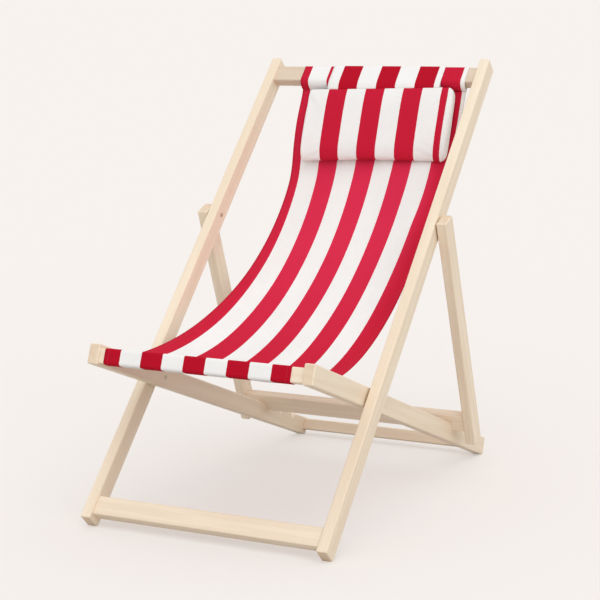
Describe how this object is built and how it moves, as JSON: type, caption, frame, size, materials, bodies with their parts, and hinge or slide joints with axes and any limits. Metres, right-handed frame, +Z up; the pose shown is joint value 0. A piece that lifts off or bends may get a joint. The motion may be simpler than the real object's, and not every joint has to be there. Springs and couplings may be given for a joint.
{
  "type": "deck chair",
  "caption": "Folding wooden deck chair with a striped canvas sling hung between two crossed frames, a notched prop frame and a lift-up head pillow.",
  "frame": {"origin": "middle of the standing chair's box, on the floor", "axes": "+Z up, +Y towards the back of the chair, +X towards the right as seen from the front"},
  "size_m": [0.574, 0.9218, 0.8954],
  "materials": {
    "pale_wood": "planed pale hardwood, matt clear coat",
    "canvas": "woven canvas, red and white stripes",
    "steel": "zinc plated",
    "brass": "plain"
  },
  "bodies": {
    "long_frame": {"long_rail_left": "pale_wood", "long_rail_right": "pale_wood", "top_rail": "pale_wood", "foot_rail": "pale_wood", "sling": "canvas", "pillow_flap": "canvas", "seat_pivot_bolt_left": "steel", "seat_pivot_bolt_right": "steel", "seat_pivot_washer_left": "steel", "seat_pivot_washer_right": "steel", "seat_pivot_insert_left": "brass", "seat_pivot_insert_right": "brass"},
    "seat_frame": {"seat_rail_left": "pale_wood", "seat_rail_right": "pale_wood", "seat_front_rail": "pale_wood", "seat_rear_rail": "pale_wood"},
    "prop_frame": {"prop_leg_left": "pale_wood", "prop_leg_right": "pale_wood", "prop_bar": "pale_wood", "prop_pivot_bolt_left": "steel", "prop_pivot_bolt_right": "steel", "prop_pivot_washer_left": "steel", "prop_pivot_washer_right": "steel", "prop_pivot_insert_left": "brass", "prop_pivot_insert_right": "brass"},
    "pillow_body": {"pillow": "canvas"}
  },
  "joints": [
    {"name": "seat_fold", "type": "hinge", "parent": "long_frame", "child": "seat_frame", "pos_m": [0, -0.20866, 0.25696], "axis": [1, 0, 0], "range_deg": [0, 60], "deforming": ["sling"]},
    {"name": "prop_swing", "type": "hinge", "parent": "long_frame", "child": "prop_frame", "pos_m": [0, 0.07833, 0.56087], "axis": [1, 0, 0], "range_deg": [0, 111.5]},
    {"name": "pillow_lift", "type": "hinge", "parent": "long_frame", "child": "pillow_body", "pos_m": [0.0233, 0.3182, 0.8291], "axis": [-1, 0, 0], "range_deg": [0, 100]}
  ],
  "couplings": [
    {"joint": "prop_swing", "follows": "seat_fold", "ratio": 1.85}
  ]
}
